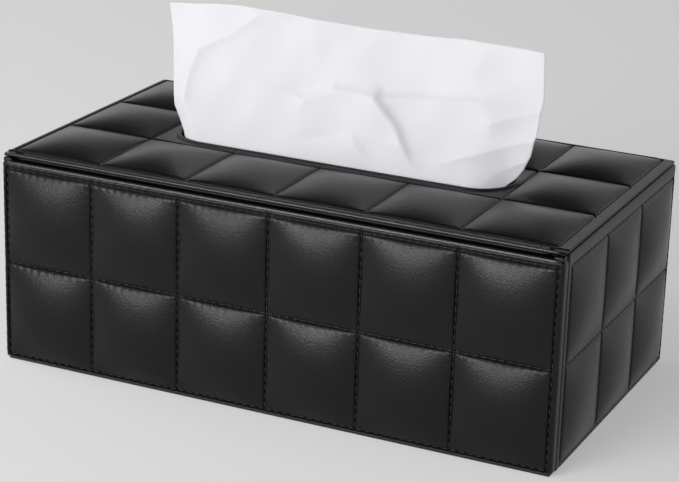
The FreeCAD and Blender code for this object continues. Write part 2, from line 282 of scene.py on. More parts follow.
def weld(piece, gap=0.002):
    shape = bmesh.new()
    shape.from_mesh(piece.data)
    bmesh.ops.remove_doubles(shape, verts=shape.verts, dist=gap * mm)
    bmesh.ops.recalc_face_normals(shape, faces=shape.faces)
    shape.to_mesh(piece.data)
    shape.free()
    smoothFaces(piece)


def readPoints(mesh):
    flat = np.empty(len(mesh.vertices) * 3, np.float32)
    mesh.vertices.foreach_get("co", flat)
    return flat.reshape(-1, 3).astype(float) / mm


def writePoints(mesh, points):
    mesh.vertices.foreach_set("co", (points * mm).astype(np.float32).ravel())
    mesh.update()


def settle(piece):  # swaps the modifiers' result in as a plain mesh
    graph = bpy.context.evaluated_depsgraph_get()
    mesh = bpy.data.meshes.new_from_object(piece.evaluated_get(graph), depsgraph=graph)
    piece.modifiers.clear()
    piece.data = mesh
    mesh.name = piece.name
    smoothFaces(piece)


def refine(piece):
    finer = piece.modifiers.new("finer", "SUBSURF")
    finer.levels = finer.render_levels = 1
    settle(piece)


def thicken(piece, thickness, offset=-1.0):
    wall = piece.modifiers.new("wall", "SOLIDIFY")
    wall.thickness = thickness * mm
    wall.offset = offset
    settle(piece)


def gridFaces(index):  # quads of a grid of point numbers, where -1 leaves a hole
    faces = []
    for j in range(index.shape[1] - 1):
        for i in range(index.shape[0] - 1):
            quad = (index[i, j], index[i + 1, j], index[i + 1, j + 1], index[i, j + 1])
            if min(quad) >= 0:
                faces.append(tuple(int(k) for k in quad))
    return faces


def slabFaces(index):  # a closed slab, where the second side's point numbers follow the first side's
    count = index.size
    rim = [int(k) for k in (*index[:, 0], *index[-1, 1:], *index[-2::-1, -1], *index[0, -2:0:-1])]
    faces = gridFaces(index) + [face[::-1] for face in gridFaces(index + count)]
    return faces + [(b, a, a + count, b + count) for a, b in zip(rim, rim[1:] + rim[:1])]


def tubeFaces(index):  # a row of closed rings, capped at both ends
    caps = [tuple(int(k) for k in ring) for ring in (index[0][::-1], index[-1])]
    return gridFaces(np.hstack([index, index[:, :1]])) + caps


def enter(piece, body, node=None):  # its body and the node that it stands for
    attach(piece, body)
    if node:
        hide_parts(node)


# Quilted covers. Each panel is drawn flat, (along, up, out), folded round its board and swollen.
# Borders are left, right, bottom and top of the sewn cells; flaps are the sides turned over the board's edge.
wallPanel = {"body": "box", "up": (0, 0, 1), "perCell": 22, "wrap": 4.5, "power": 2.1, "flaps": "T"}
longWall = {**wallPanel, "cells": (6, 2), "crown": 4.6, "groove": 0.95, "pucker": 0.15, "sink": 0.72}
shortWall = {**wallPanel, "cells": (3, 2), "rounding": (0.9, 0.9, 1.3), "crown": 2.9, "roll": 0.15,
             "groove": 0.9, "pucker": 0.04, "sink": 0.75}
panels = {
    "front": {**longWall, "along": (1, 0, 0), "out": (0, -1, 0), "borders": (2.5, 2.5, 2.0, 3.2),
              "flaps": "LRT", "rounding": (2.0, 1.9, 1.9), "roll": 0.45},
    "rear": {**longWall, "along": (-1, 0, 0), "out": (0, 1, 0), "borders": (2.2, 2.2, 2.0, 6.4),
             "rounding": (0.9, 1.2, 1.0), "roll": 0.0},
    "right": {**shortWall, "along": (0, 1, 0), "out": (1, 0, 0), "borders": (4.2, 1.8, 2.0, 6.2)},
    "left": {**shortWall, "along": (0, -1, 0), "out": (-1, 0, 0), "borders": (1.8, 4.2, 2.0, 6.2)},
    "lid": {"body": "lid", "along": (1, 0, 0), "up": (0, 1, 0), "out": (0, 0, 1), "cells": (6, 3),
            "perCell": 16, "borders": (2.7, 5.7, 7.5, 1.6), "flaps": "LRBT", "rounding": (0.6, 0.6, 0.6),
            "wrap": 1.2, "crown": 3.1, "power": 2.1, "roll": 0.0, "groove": 1.0, "pucker": 0.0, "sink": 1.1}}
coverThick = {"box": 1.5, "lid": 1.2}  # of the leather over the boards
skin = 1.0  # leather left round each sponge pad
spacing = {"corner": 4, "flap": 4, "border": 0.6, "besideSeam": 0.5}  # of the flat panel's points
sewing = {"pitch": 3.86, "grooveWidth": 0.48, "hole": 0.3, "puckerReach": 1.0, "faceShare": 0.7,
          "pinned": 0.001}
lidEdge = {"frontRadius": 2.8, "rearRadius": 2.0, "undercut": 0.8, "frontUndercut": 1.7, "rollWidth": 1.9,
           "roll": 0.25, "rollFade": 3.5, "creaseWidth": 3.0, "crease": 1.7, "creaseSquare": 0.2, "lean": 3,
           "lipWidth": 1.8, "lip": 0.4, "endFade": (121.0, 125.0), "overhang": 1.1, "flatMargin": 0.2}
slot = {"length": 159.0, "width": 33.0, "trim": 2.3, "tuck": 0.8, "rings": 5}
swell = {"frames": 12, "pressure": 1200.0, "start": 0.84, "cap": 1.4}
padFit = {"behind": 0.05, "first": 3, "every": 2, "gap": 0.15, "least": 0.2}
rimLow, rimHigh = nodeBox("slot_trim")
slotMiddleY = (rimLow[1] + rimHigh[1]) / 2


def panelFrame(name, panel):
    panel["cover"] = name + "_cover"
    axes = np.array([panel["along"], panel["up"], panel["out"]], float)
    low, high = nodeBox(panel["cover"])
    corners = np.sort(np.stack([axes @ low, axes @ high]), axis=0)
    boardCorners = np.stack([axes @ corner for corner in nodeBox(name + "_board")])
    panel["axes"] = axes
    panel["low"] = corners[0][:2]
    panel["high"] = corners[1][:2]
    panel["face"] = boardCorners[:, 2].max() + coverThick[panel["body"]]
    left, right, bottom, top = panel["borders"]
    panel["columns"] = np.linspace(panel["low"][0] + left, panel["high"][0] - right, panel["cells"][0] + 1)
    panel["rows"] = np.linspace(panel["low"][1] + bottom, panel["high"][1] - top, panel["cells"][1] + 1)
    panel["flat"] = set()
    if panel["body"] == "lid":
        reach = slot["length"] / 2 + slot["trim"]
        middle = panel["cells"][1] // 2
        panel["flat"] = {(i, middle) for i in range(panel["cells"][0])
                         if panel["columns"][i] < reach and panel["columns"][i + 1] > -reach}
    panel["seams"] = seamRuns(panel)
def seamRuns(panel):  # straight seams as pairs of flat points; none run between two flat cells
    columns, rows, flat = panel["columns"], panel["rows"], panel["flat"]
    runs = [((columns[0], row), (columns[-1], row)) for row in rows]
    for i, column in enumerate(columns):
        start = None
        for j in range(len(rows) - 1):
            sewn = not ({(i - 1, j), (i, j)} <= flat)
            if sewn and start is None:
                start = rows[j]
            if start is not None and (not sewn or j == len(rows) - 2):
                runs.append(((column, start), (column, rows[j + 1] if sewn else rows[j])))
                start = None
    return runs


def depthStops(rounding, wrap):
    curve = [rounding * k / spacing["corner"] for k in range(1, spacing["corner"] + 1)]
    rest = np.linspace(rounding, wrap, spacing["flap"])[1:] if wrap > rounding * 1.01 else []
    return curve, list(rest)


def borderLine(start, end, width):
    return list(np.linspace(start, end, max(2, round(width / spacing["border"]))))


def flatLines(panel, axis, sides):  # where the flat panel's points lie along one of its axes
    low, high, rounding = panel["low"][axis], panel["high"][axis], panel["rounding"][axis]
    seams = panel[("columns", "rows")[axis]]
    steps, perCell, beside = spacing["corner"], panel["perCell"], spacing["besideSeam"]
    curve, rest = depthStops(panel["rounding"][2], panel["wrap"])
    before = [low - s for s in reversed(curve + (rest if sides[0] in panel["flaps"] else []))]
    after = [high + s for s in curve + (rest if sides[1] in panel["flaps"] else [])]
    lowRound = [low + rounding * k / steps for k in range(steps)]
    highRound = [high - rounding * k / steps for k in range(steps - 1, -1, -1)]
    lowBorder = borderLine(low + rounding, seams[0], seams[0] - low - rounding)[:-1]
    highBorder = borderLine(seams[-1], high - rounding, high - rounding - seams[-1])[1:]
    cells = []
    for a, b in zip(seams[:-1], seams[1:]):
        cells += [a, a + beside] + [a + (b - a) * k / perCell for k in range(1, perCell)] + [b - beside]
    return np.array(before + lowRound + lowBorder + cells + [seams[-1]] + highBorder + highRound + after)


def foldPanel(panel, along, up):  # flat point to folded (along, up, out), round the board's edges
    low, high, (ru, rv, rw) = panel["low"], panel["high"], panel["rounding"]
    u = np.clip(along, low[0], high[0])
    v = np.clip(up, low[1], high[1])
    depth = np.abs(along - u) + np.abs(up - v)
    point = np.stack([u, v, -depth], axis=-1)
    core = np.stack([np.clip(u, low[0] + ru, high[0] - ru), np.clip(v, low[1] + rv, high[1] - rv),
                     np.minimum(-depth, -rw)], axis=-1)
    spread = point - core
    length = np.linalg.norm(spread / np.array([ru, rv, rw]), axis=-1, keepdims=True)
    return core + spread / np.maximum(length, nearZero)


def cellShare(value, seams):
    cell = np.clip(np.searchsorted(seams, value, side="right") - 1, 0, len(seams) - 2)
    return cell, (value - seams[cell]) / (seams[cell + 1] - seams[cell])


def pillow(panel, u, v):  # height of the stuffed cells
    i, a = cellShare(u, panel["columns"])
    j, b = cellShare(v, panel["rows"])
    inside = (a >= 0) & (a <= 1) & (b >= 0) & (b <= 1)
    power = panel["power"]
    height = panel["crown"] * (1 - np.abs(2 * np.clip(a, 0, 1) - 1) ** power) * (
        1 - np.abs(2 * np.clip(b, 0, 1) - 1) ** power)
    for cell in panel["flat"]:
        height = np.where((i == cell[0]) & (j == cell[1]), 0, height)
    return np.where(inside, height, 0)


def borderRoll(panel, u, v):
    gaps = [panel["columns"][0] - u, u - panel["columns"][-1], panel["rows"][0] - v, v - panel["rows"][-1]]
    height = np.zeros_like(u)
    for gap, width in zip(gaps, panel["borders"]):
        share = np.clip(gap / width, 0, 1)
        height = np.maximum(height, panel["roll"] * np.sin(np.pi * share) * (gap > 0))
    return height


def roundLidCorners(points):  # plan corners of the lid, square rings turned to round ones
    low, high = panels["lid"]["low"], panels["lid"]["high"]
    for side in (-1, 1):
        for end, radius in ((-1, lidEdge["frontRadius"]), (1, lidEdge["rearRadius"])):
            edge = high[1] if end > 0 else -low[1]
            centre = np.array([side * (high[0] - radius), edge * end - end * radius])
            away = (points[:, :2] - centre) * np.array([side, end])
            inCorner = (away > 0).all(axis=1)
            scale = away.max(axis=1) / np.maximum(np.linalg.norm(away, axis=1), nearZero)
            points[inCorner, :2] = (centre + away * np.array([side, end]) * scale[:, None])[inCorner]
    return points


def stadiumPoint(share, length, width):  # point of a round-ended slot at a share of its outline
    radius, straight = width / 2, length - width
    half, run = divmod((share % 1) * 2 * (straight + math.pi * radius), straight + math.pi * radius)
    if run < straight:
        point = np.array([-straight / 2 + run, -radius])
    else:
        turn = (run - straight) / radius - math.pi / 2
        point = np.array([straight / 2 + radius * math.cos(turn), radius * math.sin(turn)])
    return -point if half else point  # the second half is the first, turned round


def nearestOnStadium(point, length, width):
    straight = (length - width) / 2
    centre = np.array([np.clip(point[0], -straight, straight), 0])
    away = point - centre
    return centre + away / np.linalg.norm(away) * width / 2


def slotRing(columns, rows, middleY):  # flat leather between the four middle cells' seams and the slot
    length = slot["length"] + 2 * slot["trim"] - slot["tuck"]
    width = slot["width"] + 2 * slot["trim"] - slot["tuck"]
    rings = slot["rings"]
    edge = [(x, rows[0]) for x in columns[:-1]] + [(columns[-1], y) for y in rows[:-1]]
    edge += [(x, rows[-1]) for x in columns[:0:-1]] + [(columns[0], y) for y in rows[:0:-1]]
    middle = np.array([0, middleY])
    points, faces = [], []
    for spot in edge:
        outer = np.array(spot) - middle
        inner = nearestOnStadium(outer, length, width)
        points += [tuple(outer + (inner - outer) * k / rings + middle) for k in range(rings + 1)]
    count = len(edge)
    for i in range(count):
        for k in range(rings):
            a, b = i * (rings + 1) + k, ((i + 1) % count) * (rings + 1) + k
            faces.append((a, b, b + 1, a + 1))
    return np.array(points), faces


def drawPanel(name, panel):
    low, high = panel["low"], panel["high"]
    lines = [flatLines(panel, 0, "LR"), flatLines(panel, 1, "BT")]
    along, up = np.meshgrid(*lines, indexing="ij")
    drop = ((along < low[0]) | (along > high[0])) & ((up < low[1]) | (up > high[1]))
    cut = None
    if panel["flat"]:
        flatColumns = sorted(i for i, _ in panel["flat"])
        middle = panel["cells"][1] // 2
        cut = (panel["columns"][flatColumns[0]], panel["columns"][flatColumns[-1] + 1],
               panel["rows"][middle], panel["rows"][middle + 1])
        drop |= ((along > cut[0] + tiny) & (along < cut[1] - tiny)
                 & (up > cut[2] + tiny) & (up < cut[3] - tiny))
    index = np.where(drop, -1, np.cumsum(~drop).reshape(drop.shape) - 1)
    flat = np.stack([along[~drop], up[~drop]], axis=-1)
    faces = gridFaces(index)
    if cut:
        inX = [x for x in lines[0] if cut[0] - tiny <= x <= cut[1] + tiny]
        inY = [y for y in lines[1] if cut[2] - tiny <= y <= cut[3] + tiny]
        ringPoints, ringFaces = slotRing(inX, inY, (cut[2] + cut[3]) / 2)
        faces += [tuple(k + len(flat) for k in face) for face in ringFaces]
        flat = np.vstack([flat, ringPoints])
    onFace = ((flat >= low) & (flat <= high)).all(axis=1)
    panel["grid"] = index
    panel["lines"] = lines
    panel["flatPoints"] = flat
    panel["heights"] = np.where(onFace, pillow(panel, flat[:, 0], flat[:, 1]), 0)
    local = foldPanel(panel, flat[:, 0], flat[:, 1])
    curl = np.clip(-local[:, 2] / panel["wrap"], 0, 1) ** 2
    local[:, 2] += panel["heights"] * swell["start"]
    if panel["body"] == "lid":  # its turned edges lean in under it
        local[:, 1] += lidEdge["frontUndercut"] * curl * (flat[:, 1] < low[1])
        local[:, 1] -= lidEdge["undercut"] * curl * (flat[:, 1] > high[1])
        local[:, 0] += lidEdge["undercut"] * curl * ((flat[:, 0] < low[0]) * 1 - (flat[:, 0] > high[0]))
        local = roundLidCorners(local)
    return makePiece(name + "_quilt", toWorld(panel, local), faces, quiltLeather)


def toWorld(panel, local):
    return (local + np.array([0, 0, panel["face"]])) @ panel["axes"]


def toLocal(panel, points):
    return points @ panel["axes"].T - np.array([0, 0, panel["face"]])


def sewnWeights(panel):  # 1 on seams, borders and wraps, 0 inside the pillows
    flat = panel["flatPoints"]
    near = np.full(len(flat), far)
    for start, end in panel["seams"]:
        near = np.minimum(near, seamDistance(flat, start, end)[0])
    inside = panel["heights"] > tiny
    return np.where(inside & (near > sewing["pinned"]), 0.0, 1.0)


def seamDistance(points, start, end):
    start, end = np.array(start), np.array(end)
    run = end - start
    length = np.linalg.norm(run)
    travel = np.clip((points[:, :2] - start) @ run / length, 0, length)
    foot = start + travel[:, None] * run / length
    return np.linalg.norm(points[:, :2] - foot, axis=1), travel, length


clothSettings = {"vertex_group_mass": "sewn", "quality": 6, "mass": 0.15, "tension_stiffness": 8,
                 "compression_stiffness": 8, "shear_stiffness": 5, "bending_stiffness": 0.8,
                 "tension_damping": 12, "compression_damping": 12, "shear_damping": 12, "air_damping": 4,
                 "pin_stiffness": 1.0, "use_pressure": True, "uniform_pressure_force": swell["pressure"]}


def addSwelling(piece, weights):
    group = piece.vertex_groups.new(name="sewn")
    for value in np.unique(weights):
        group.add([int(k) for k in np.flatnonzero(weights == value)], float(value), "REPLACE")
    cloth = piece.modifiers.new("swelling", "CLOTH")
    for key, value in clothSettings.items():
        setattr(cloth.settings, key, value)
    cloth.settings.effector_weights.gravity = 0
    cloth.collision_settings.use_collision = False


def swellAll(pieces):
    scene = bpy.context.scene
    for step in range(1, swell["frames"] + 1):
        scene.frame_set(step)
    graph = bpy.context.evaluated_depsgraph_get()
    for name, piece in pieces.items():
        panel = panels[name]
        rest = toLocal(panel, readPoints(piece.data))
        swollen = toLocal(panel, readPoints(piece.evaluated_get(graph).data))
        move = swollen - rest
        reach = np.linalg.norm(move, axis=1, keepdims=True)
        move *= np.minimum(1, swell["cap"] / np.maximum(reach, nearZero))
        print("  swelled", name, "up to", round(float(move[:, 2].max()), 2), "mm")
        piece.modifiers.clear()
        writePoints(piece.data, toWorld(panel, rest + move))
    scene.frame_set(1)


def pressSeams(panel, piece):  # grooves, needle holes and puckers along each seam, after the swelling
    local = toLocal(panel, readPoints(piece.data))
    face = local[:, 2] > -panel["rounding"][2] * sewing["faceShare"]
    drop = np.zeros(len(local))
    for start, end in panel["seams"]:
        near, travel, length = seamDistance(local, start, end)
        count = max(1, round(length / sewing["pitch"]))
        beat = np.cos(2 * np.pi * travel / length * count)  # 1 at a needle hole, -1 between two
        dip = panel["groove"] + sewing["hole"] * (0.5 + 0.5 * beat)
        drop = np.maximum(drop, dip * np.exp(-(near / sewing["grooveWidth"]) ** 2))
        reach = near / sewing["puckerReach"]
        local[:, 2] -= face * panel["pucker"] * beat * reach * np.exp((1 - reach ** 2) / 2)
    local[:, 2] -= drop * face
    local[:, 2] += borderRoll(panel, local[:, 0], local[:, 1]) * face
    if panel["body"] == "lid":
        setback = local[:, 1] - panel["low"][1]
        local[:, 2] += frontLip(local[:, 0], setback) * face
        local[:, 1] += lidEdge["overhang"] * creaseShape(local[:, 0], setback)[1] * face
    writePoints(piece.data, toWorld(panel, local))


def hump(place, start, width):
    return np.sin(np.pi * np.clip((place - start) / width, 0, 1))


def creaseShape(along, setback):  # how deep the lid's front crease is, and how far its rear wall leans back
    fadeStart, fadeEnd = lidEdge["endFade"]
    ends = np.clip((fadeEnd - np.abs(along)) / (fadeEnd - fadeStart), 0, 1)
    deep = hump(setback, lidEdge["rollWidth"], lidEdge["creaseWidth"]) ** lidEdge["creaseSquare"] * ends
    across = np.clip((setback - lidEdge["rollWidth"]) / lidEdge["creaseWidth"], 0, 1)
    return deep, deep * across ** lidEdge["lean"]


def frontLip(along, setback):  # roll at the lid's front edge, a deep crease and a thin lip before the cells
    fade = lidEdge["rollFade"]
    rollEnds = np.clip((lidEdge["endFade"][1] + fade - np.abs(along)) / fade, 0, 1)
    height = lidEdge["roll"] * hump(setback, 0, lidEdge["rollWidth"]) * rollEnds
    lipStart = lidEdge["rollWidth"] + lidEdge["creaseWidth"]
    height += lidEdge["lip"] * hump(setback, lipStart, lidEdge["lipWidth"])
    return height - lidEdge["crease"] * creaseShape(along, setback)[0]


def flattenCrease(piece):  # the crease's steep walls keep their own facing
    front = panels["lid"]["low"][1] + lidEdge["rollWidth"]
    rear = front + lidEdge["creaseWidth"] + lidEdge["flatMargin"]
    for face in piece.data.polygons:
        x, y, _ = face.center / mm
        if front < y < rear and abs(x) < lidEdge["endFade"][1]:
            face.use_smooth = False


def fillPads(name, panel, piece):  # sponge behind each pillow, from the board to just under the leather
    local = toLocal(panel, readPoints(piece.data))
    points, faces = [], []
    back = -coverThick[panel["body"]] + padFit["behind"]
    for j in range(panel["cells"][1]):
        for i in range(panel["cells"][0]):
            if (i, j) in panel["flat"]:
                continue
            corner = (panel["columns"][i], panel["rows"][j])
            first = [int(np.argmin(np.abs(line - place))) for line, place in zip(panel["lines"], corner)]
            picks = [k + np.arange(padFit["first"], panel["perCell"], padFit["every"]) for k in first]
            numbers = panel["grid"][np.ix_(*picks)]
            top = local[numbers.ravel()] - np.array([0, 0, skin + padFit["gap"]])
            top[:, 2] = np.maximum(top[:, 2], back + padFit["least"])
            bottom = top.copy()
            bottom[:, 2] = back
            faces += slabFaces(np.arange(numbers.size).reshape(numbers.shape) + len(points))
            points += list(top) + list(bottom)
    pads = makePiece(name + "_sponge", toWorld(panel, np.array(points)), faces, spongeFoam)
    enter(pads, panel["body"], name + "_padding")


for name, panel in panels.items():
    panelFrame(name, panel)
quilts = {name: drawPanel(name, panel) for name, panel in panels.items()}
for name, piece in quilts.items():
    addSwelling(piece, sewnWeights(panels[name]))
swellAll(quilts)
for name, piece in quilts.items():
    panel = panels[name]
    fillPads(name, panel, piece)
    weld(piece)
    refine(piece)
    pressSeams(panel, piece)
    thicken(piece, skin)
    if name == "lid":
        flattenCrease(piece)
    enter(piece, panel["body"], panel["cover"])
print("quilts:", {name: len(piece.data.polygons) for name, piece in quilts.items()})


# Stitches along the seams, one tree for both bodies
stitch = {"length": 2.9, "width": 0.62, "height": 0.5, "slant": 5.0, "seed": 7}


def newTree(name, sockets):  # a geometry tree with these inputs beside its geometry
    tree = bpy.data.node_groups.new(name, "GeometryNodeTree")
    for label, kind in (("Geometry", "Geometry"), *sockets):
        tree.interface.new_socket(label, in_out="INPUT", socket_type="NodeSocket" + kind)
    tree.interface.new_socket("Geometry", in_out="OUTPUT", socket_type="NodeSocketGeometry")
    return tree, addNode(tree, "NodeGroupInput")


def wire(tree, links):
    for source, output, target, entry in links:
        tree.links.new(source.outputs[output], target.inputs[entry])


def finishTree(tree, start, placed):  # instances made real, painted and handed on
    whole = addNode(tree, "GeometryNodeRealizeInstances")
    painted = addNode(tree, "GeometryNodeSetMaterial")
    finish = addNode(tree, "NodeGroupOutput")
    wire(tree, ((placed, "Instances", whole, "Geometry"), (whole, "Geometry", painted, "Geometry"),
                (start, "Paint", painted, "Material"), (painted, "Geometry", finish, "Geometry")))


def applyTree(piece, tree, values):
    change = piece.modifiers.new(tree.name, "NODES")
    change.node_group = tree
    inputs = {item.name: item.identifier for item in tree.interface.items_tree if item.in_out == "INPUT"}
    for label, value in values.items():
        change[inputs[label]] = value
    settle(piece)


def stitchTree():
    sockets = [(label, "Float") for label in ("Pitch", "Length", "Width", "Height", "Slant")]
    tree, start = newTree("seamStitches", sockets + [("Seed", "Int"), ("Paint", "Material")])
    runs = addNode(tree, "GeometryNodeMeshToCurve")
    spaced = addNode(tree, "GeometryNodeResampleCurve", mode="LENGTH")
    bead = addNode(tree, "GeometryNodeMeshUVSphere", {"Segments": 8, "Rings": 6, "Radius": 0.5})
    size = addNode(tree, "ShaderNodeCombineXYZ")
    outward = addNode(tree, "GeometryNodeInputNamedAttribute", {"Name": "outward"}, data_type="FLOAT_VECTOR")
    tangent = addNode(tree, "GeometryNodeInputTangent")
    alongSeam = addNode(tree, "FunctionNodeAlignRotationToVector", axis="X")
    facing = addNode(tree, "FunctionNodeAlignRotationToVector", axis="Z", pivot_axis="X")
    lean = addNode(tree, "FunctionNodeRandomValue", {"Min": 0.4, "Max": 1.4}, data_type="FLOAT")
    turn = addNode(tree, "ShaderNodeMath", operation="MULTIPLY")
    turnAngles = addNode(tree, "ShaderNodeCombineXYZ")
    tilt = addNode(tree, "FunctionNodeEulerToRotation")
    slanted = addNode(tree, "FunctionNodeRotateRotation", rotation_space="LOCAL")
    placed = addNode(tree, "GeometryNodeInstanceOnPoints")
    wire(tree, (
        (start, "Geometry", runs, "Mesh"), (runs, "Curve", spaced, "Curve"),
        (start, "Pitch", spaced, "Length"), (start, "Length", size, "X"),
        (start, "Width", size, "Y"), (start, "Height", size, "Z"),
        (tangent, "Tangent", alongSeam, "Vector"), (alongSeam, "Rotation", facing, "Rotation"),
        (outward, "Attribute", facing, "Vector"), (start, "Seed", lean, "Seed"), (lean, "Value", turn, 0),
        (start, "Slant", turn, 1), (turn, 0, turnAngles, "Z"), (turnAngles, 0, tilt, "Euler"),
        (facing, "Rotation", slanted, "Rotation"), (tilt, "Rotation", slanted, "Rotate By"),
        (spaced, "Curve", placed, "Points"), (bead, "Mesh", placed, "Instance"),
        (slanted, "Rotation", placed, "Rotation"), (size, 0, placed, "Scale")))
    finishTree(tree, start, placed)
    return tree
def seamCarrier(name, runs):  # seams as loose edges with the way that they face
    points = [p for run in runs for p in run[:2]]
    mesh = bpy.data.meshes.new(name)
    mesh.from_pydata([tuple(p * mm) for p in points], [(2 * k, 2 * k + 1) for k in range(len(runs))], [])
    facing = mesh.attributes.new("outward", "FLOAT_VECTOR", "POINT")
    facing.data.foreach_set("vector", np.array([run[2] for run in runs for _ in (0, 1)], float).ravel())
    piece = bpy.data.objects.new(name, mesh)
    bpy.context.scene.collection.objects.link(piece)
    return piece


def sewStitches(name, body, names, tree):
    runs = []
    for key in names:
        panel = panels[key]
        for start, end in panel["seams"]:
            ends = np.array([[*start, -panel["sink"]], [*end, -panel["sink"]]])
            count = max(1, round(np.linalg.norm(ends[1] - ends[0]) / sewing["pitch"]))
            half = (ends[1] - ends[0]) / count / 2
            ends = toWorld(panel, np.array([ends[0] + half, ends[1] - half]))
            runs.append((ends[0], ends[1], panel["axes"][2]))
    piece = seamCarrier(name, runs)
    sizes = {label: stitch[label.lower()] * mm for label in ("Length", "Width", "Height")}
    applyTree(piece, tree, {**sizes, "Pitch": sewing["pitch"] * mm, "Slant": math.radians(stitch["slant"]),
                            "Seed": stitch["seed"], "Paint": quiltThread})
    enter(piece, body)
    return piece


stitches = stitchTree()
boxStitches = sewStitches("wall_stitches", "box", ("front", "rear", "left", "right"), stitches)
lidStitches = sewStitches("lid_stitches", "lid", ("lid",), stitches)
print("stitches:", len(boxStitches.data.polygons), len(lidStitches.data.polygons))


# Rolled rim of the slot
rim = {"outlinePoints": 160, "profilePoints": 20, "lift": 0.1, "taper": 0.05, "lip": 0.25, "lipTop": 0.1,
       "lipFoot": 0.6}


def slotRim():
    bottom, top = rimLow[2] + rim["lift"], rimHigh[2] + rim["lift"]
    roll = slot["trim"] / 2
    shoulder = top - roll
    lip = roll + rim["lip"]
    profile = [(-roll + rim["taper"], bottom), (-roll, shoulder)]
    profile += [(-roll * math.cos(t), shoulder + roll * math.sin(t))
                for t in np.linspace(0, math.pi, rim["profilePoints"])[1:-1]]
    profile += [(lip, shoulder - rim["lipTop"]), (lip, shoulder - rim["lipFoot"]), (roll, bottom)]
    points, count = [], rim["outlinePoints"]
    length, width = slot["length"] + slot["trim"], slot["width"] + slot["trim"]
    straight = (length - width) / 2
    for k in range(count):
        spot = stadiumPoint(k / count, length, width)
        away = spot - np.array([np.clip(spot[0], -straight, straight), 0])
        away /= np.linalg.norm(away)
        for offset, z in profile:
            x, y = spot + away * offset
            points.append((x, y + slotMiddleY, z))
    index = np.arange(count * len(profile)).reshape(count, -1)
    index = np.vstack([index, index[:1]])
    index = np.hstack([index, index[:, :1]])
    piece = makePiece("slot_rim", points, gridFaces(index), edgeLeather)
    weld(piece)
    enter(piece, "lid", "slot_trim")
slotRim()


# Leather spine at the rear, bulging round the lid's hinge axis
spine = {"rows": 44, "columns": 90, "gap": 0.05, "leaf": 0.8, "edgeDrop": 0.5, "edgeWidth": 0.6,
         "wrinkle": 0.10, "waves": (0.9, 0.37), "phase": 1.3, "waveReach": 1.6, "bend": (-1.6, 0.5)}


def hingeSpine():
    low, high = nodeBox("hinge_strip")
    joint = next(j for j in frame["joints"] if j["name"] == "lid_hinge")
    axis = np.array(joint["pos_m"]) / mm
    inner, bead = low[1] + spine["gap"], high[1] - axis[1]
    up = np.linspace(low[2], high[2], spine["rows"])
    along = np.linspace(low[0], high[0], spine["columns"])
    x, z = np.meshgrid(along, up, indexing="ij")
    away = np.clip(1 - ((z - axis[2]) / bead) ** 2, 0, None)
    outer = np.maximum(inner + spine["leaf"], axis[1] + bead * np.sqrt(away))
    ease = np.minimum(np.minimum(z - low[2], high[2] - z), np.minimum(x - low[0], high[0] - x))
    outer = outer - spine["edgeDrop"] * np.clip(1 - ease / spine["edgeWidth"], 0, 1) ** 2
    waves = np.sin(x * spine["waves"][0]) * np.sin(x * spine["waves"][1] + spine["phase"])
    outer += spine["wrinkle"] * waves * np.exp(-((z - axis[2]) / spine["waveReach"]) ** 2)
    sides = [np.stack([x, y, z], axis=-1).reshape(-1, 3) for y in (outer, np.full_like(x, inner))]
    faces = [face[::-1] for face in slabFaces(np.arange(x.size).reshape(x.shape))]
    piece = makePiece("hinge_spine", np.vstack(sides), faces, hingeLeather)
    weld(piece)
    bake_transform(piece)
    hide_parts("hinge_strip")
hingeSpine()


# Welts along the lid's front edge and the top of the front wall
welts = {"lid_welt": {"body": "lid", "half": 129.0, "y": -70.1, "z": 96.0, "radius": 0.7, "turn": 3.2,
                      "drop": 0.7},
         "wall_welt": {"body": "box", "half": 127.6, "y": -70.15, "z": 92.15, "radius": 1.15, "turn": 1.6,
                       "drop": 0.0}}
tube = {"bendPoints": 9, "straightPoints": 60, "sides": 16, "endShare": 0.5}


def frontWelt(name, welt):
    bend = []
    for t in np.linspace(0, math.pi / 2, tube["bendPoints"]):
        fall = 1 - math.cos(t)
        bend.append((welt["half"] - welt["turn"] * (1 - math.sin(t)), welt["y"] + welt["turn"] * fall,
                     welt["z"] - welt["drop"] * fall))
    between = np.linspace(-bend[0][0], bend[0][0], tube["straightPoints"])[1:-1]
    straight = [(x, welt["y"], welt["z"]) for x in between]
    path = np.array([(-x, y, z) for x, y, z in bend[::-1]] + straight + bend)
    along = np.gradient(path[:, :2], axis=0)
    along /= np.linalg.norm(along, axis=1, keepdims=True)
    outward = np.column_stack([along[:, 1], -along[:, 0]])
    thick = np.full(len(path), welt["radius"])
    thick[[0, -1]] *= tube["endShare"]
    points = []
    for (x, y, z), (ox, oy), radius in zip(path, outward, thick):
        for t in np.linspace(0, 2 * math.pi, tube["sides"], endpoint=False):
            out = radius * math.cos(t)
            points.append((x + ox * out, y + oy * out, z + radius * math.sin(t)))
    faces = tubeFaces(np.arange(len(points)).reshape(len(path), -1))
    piece = makePiece(name, points, faces, weltLeather)
    weld(piece)
    enter(piece, welt["body"])
for name, welt in welts.items():
    frontWelt(name, welt)


# Leather blocks that close the finger gap at the two front corners
endTab = {"inner": 0.4, "outer": 1.1, "front": 4.2, "back": 0.1, "drop": 1.4, "rise": 0.75, "round": 0.55,
          "steps": 5}


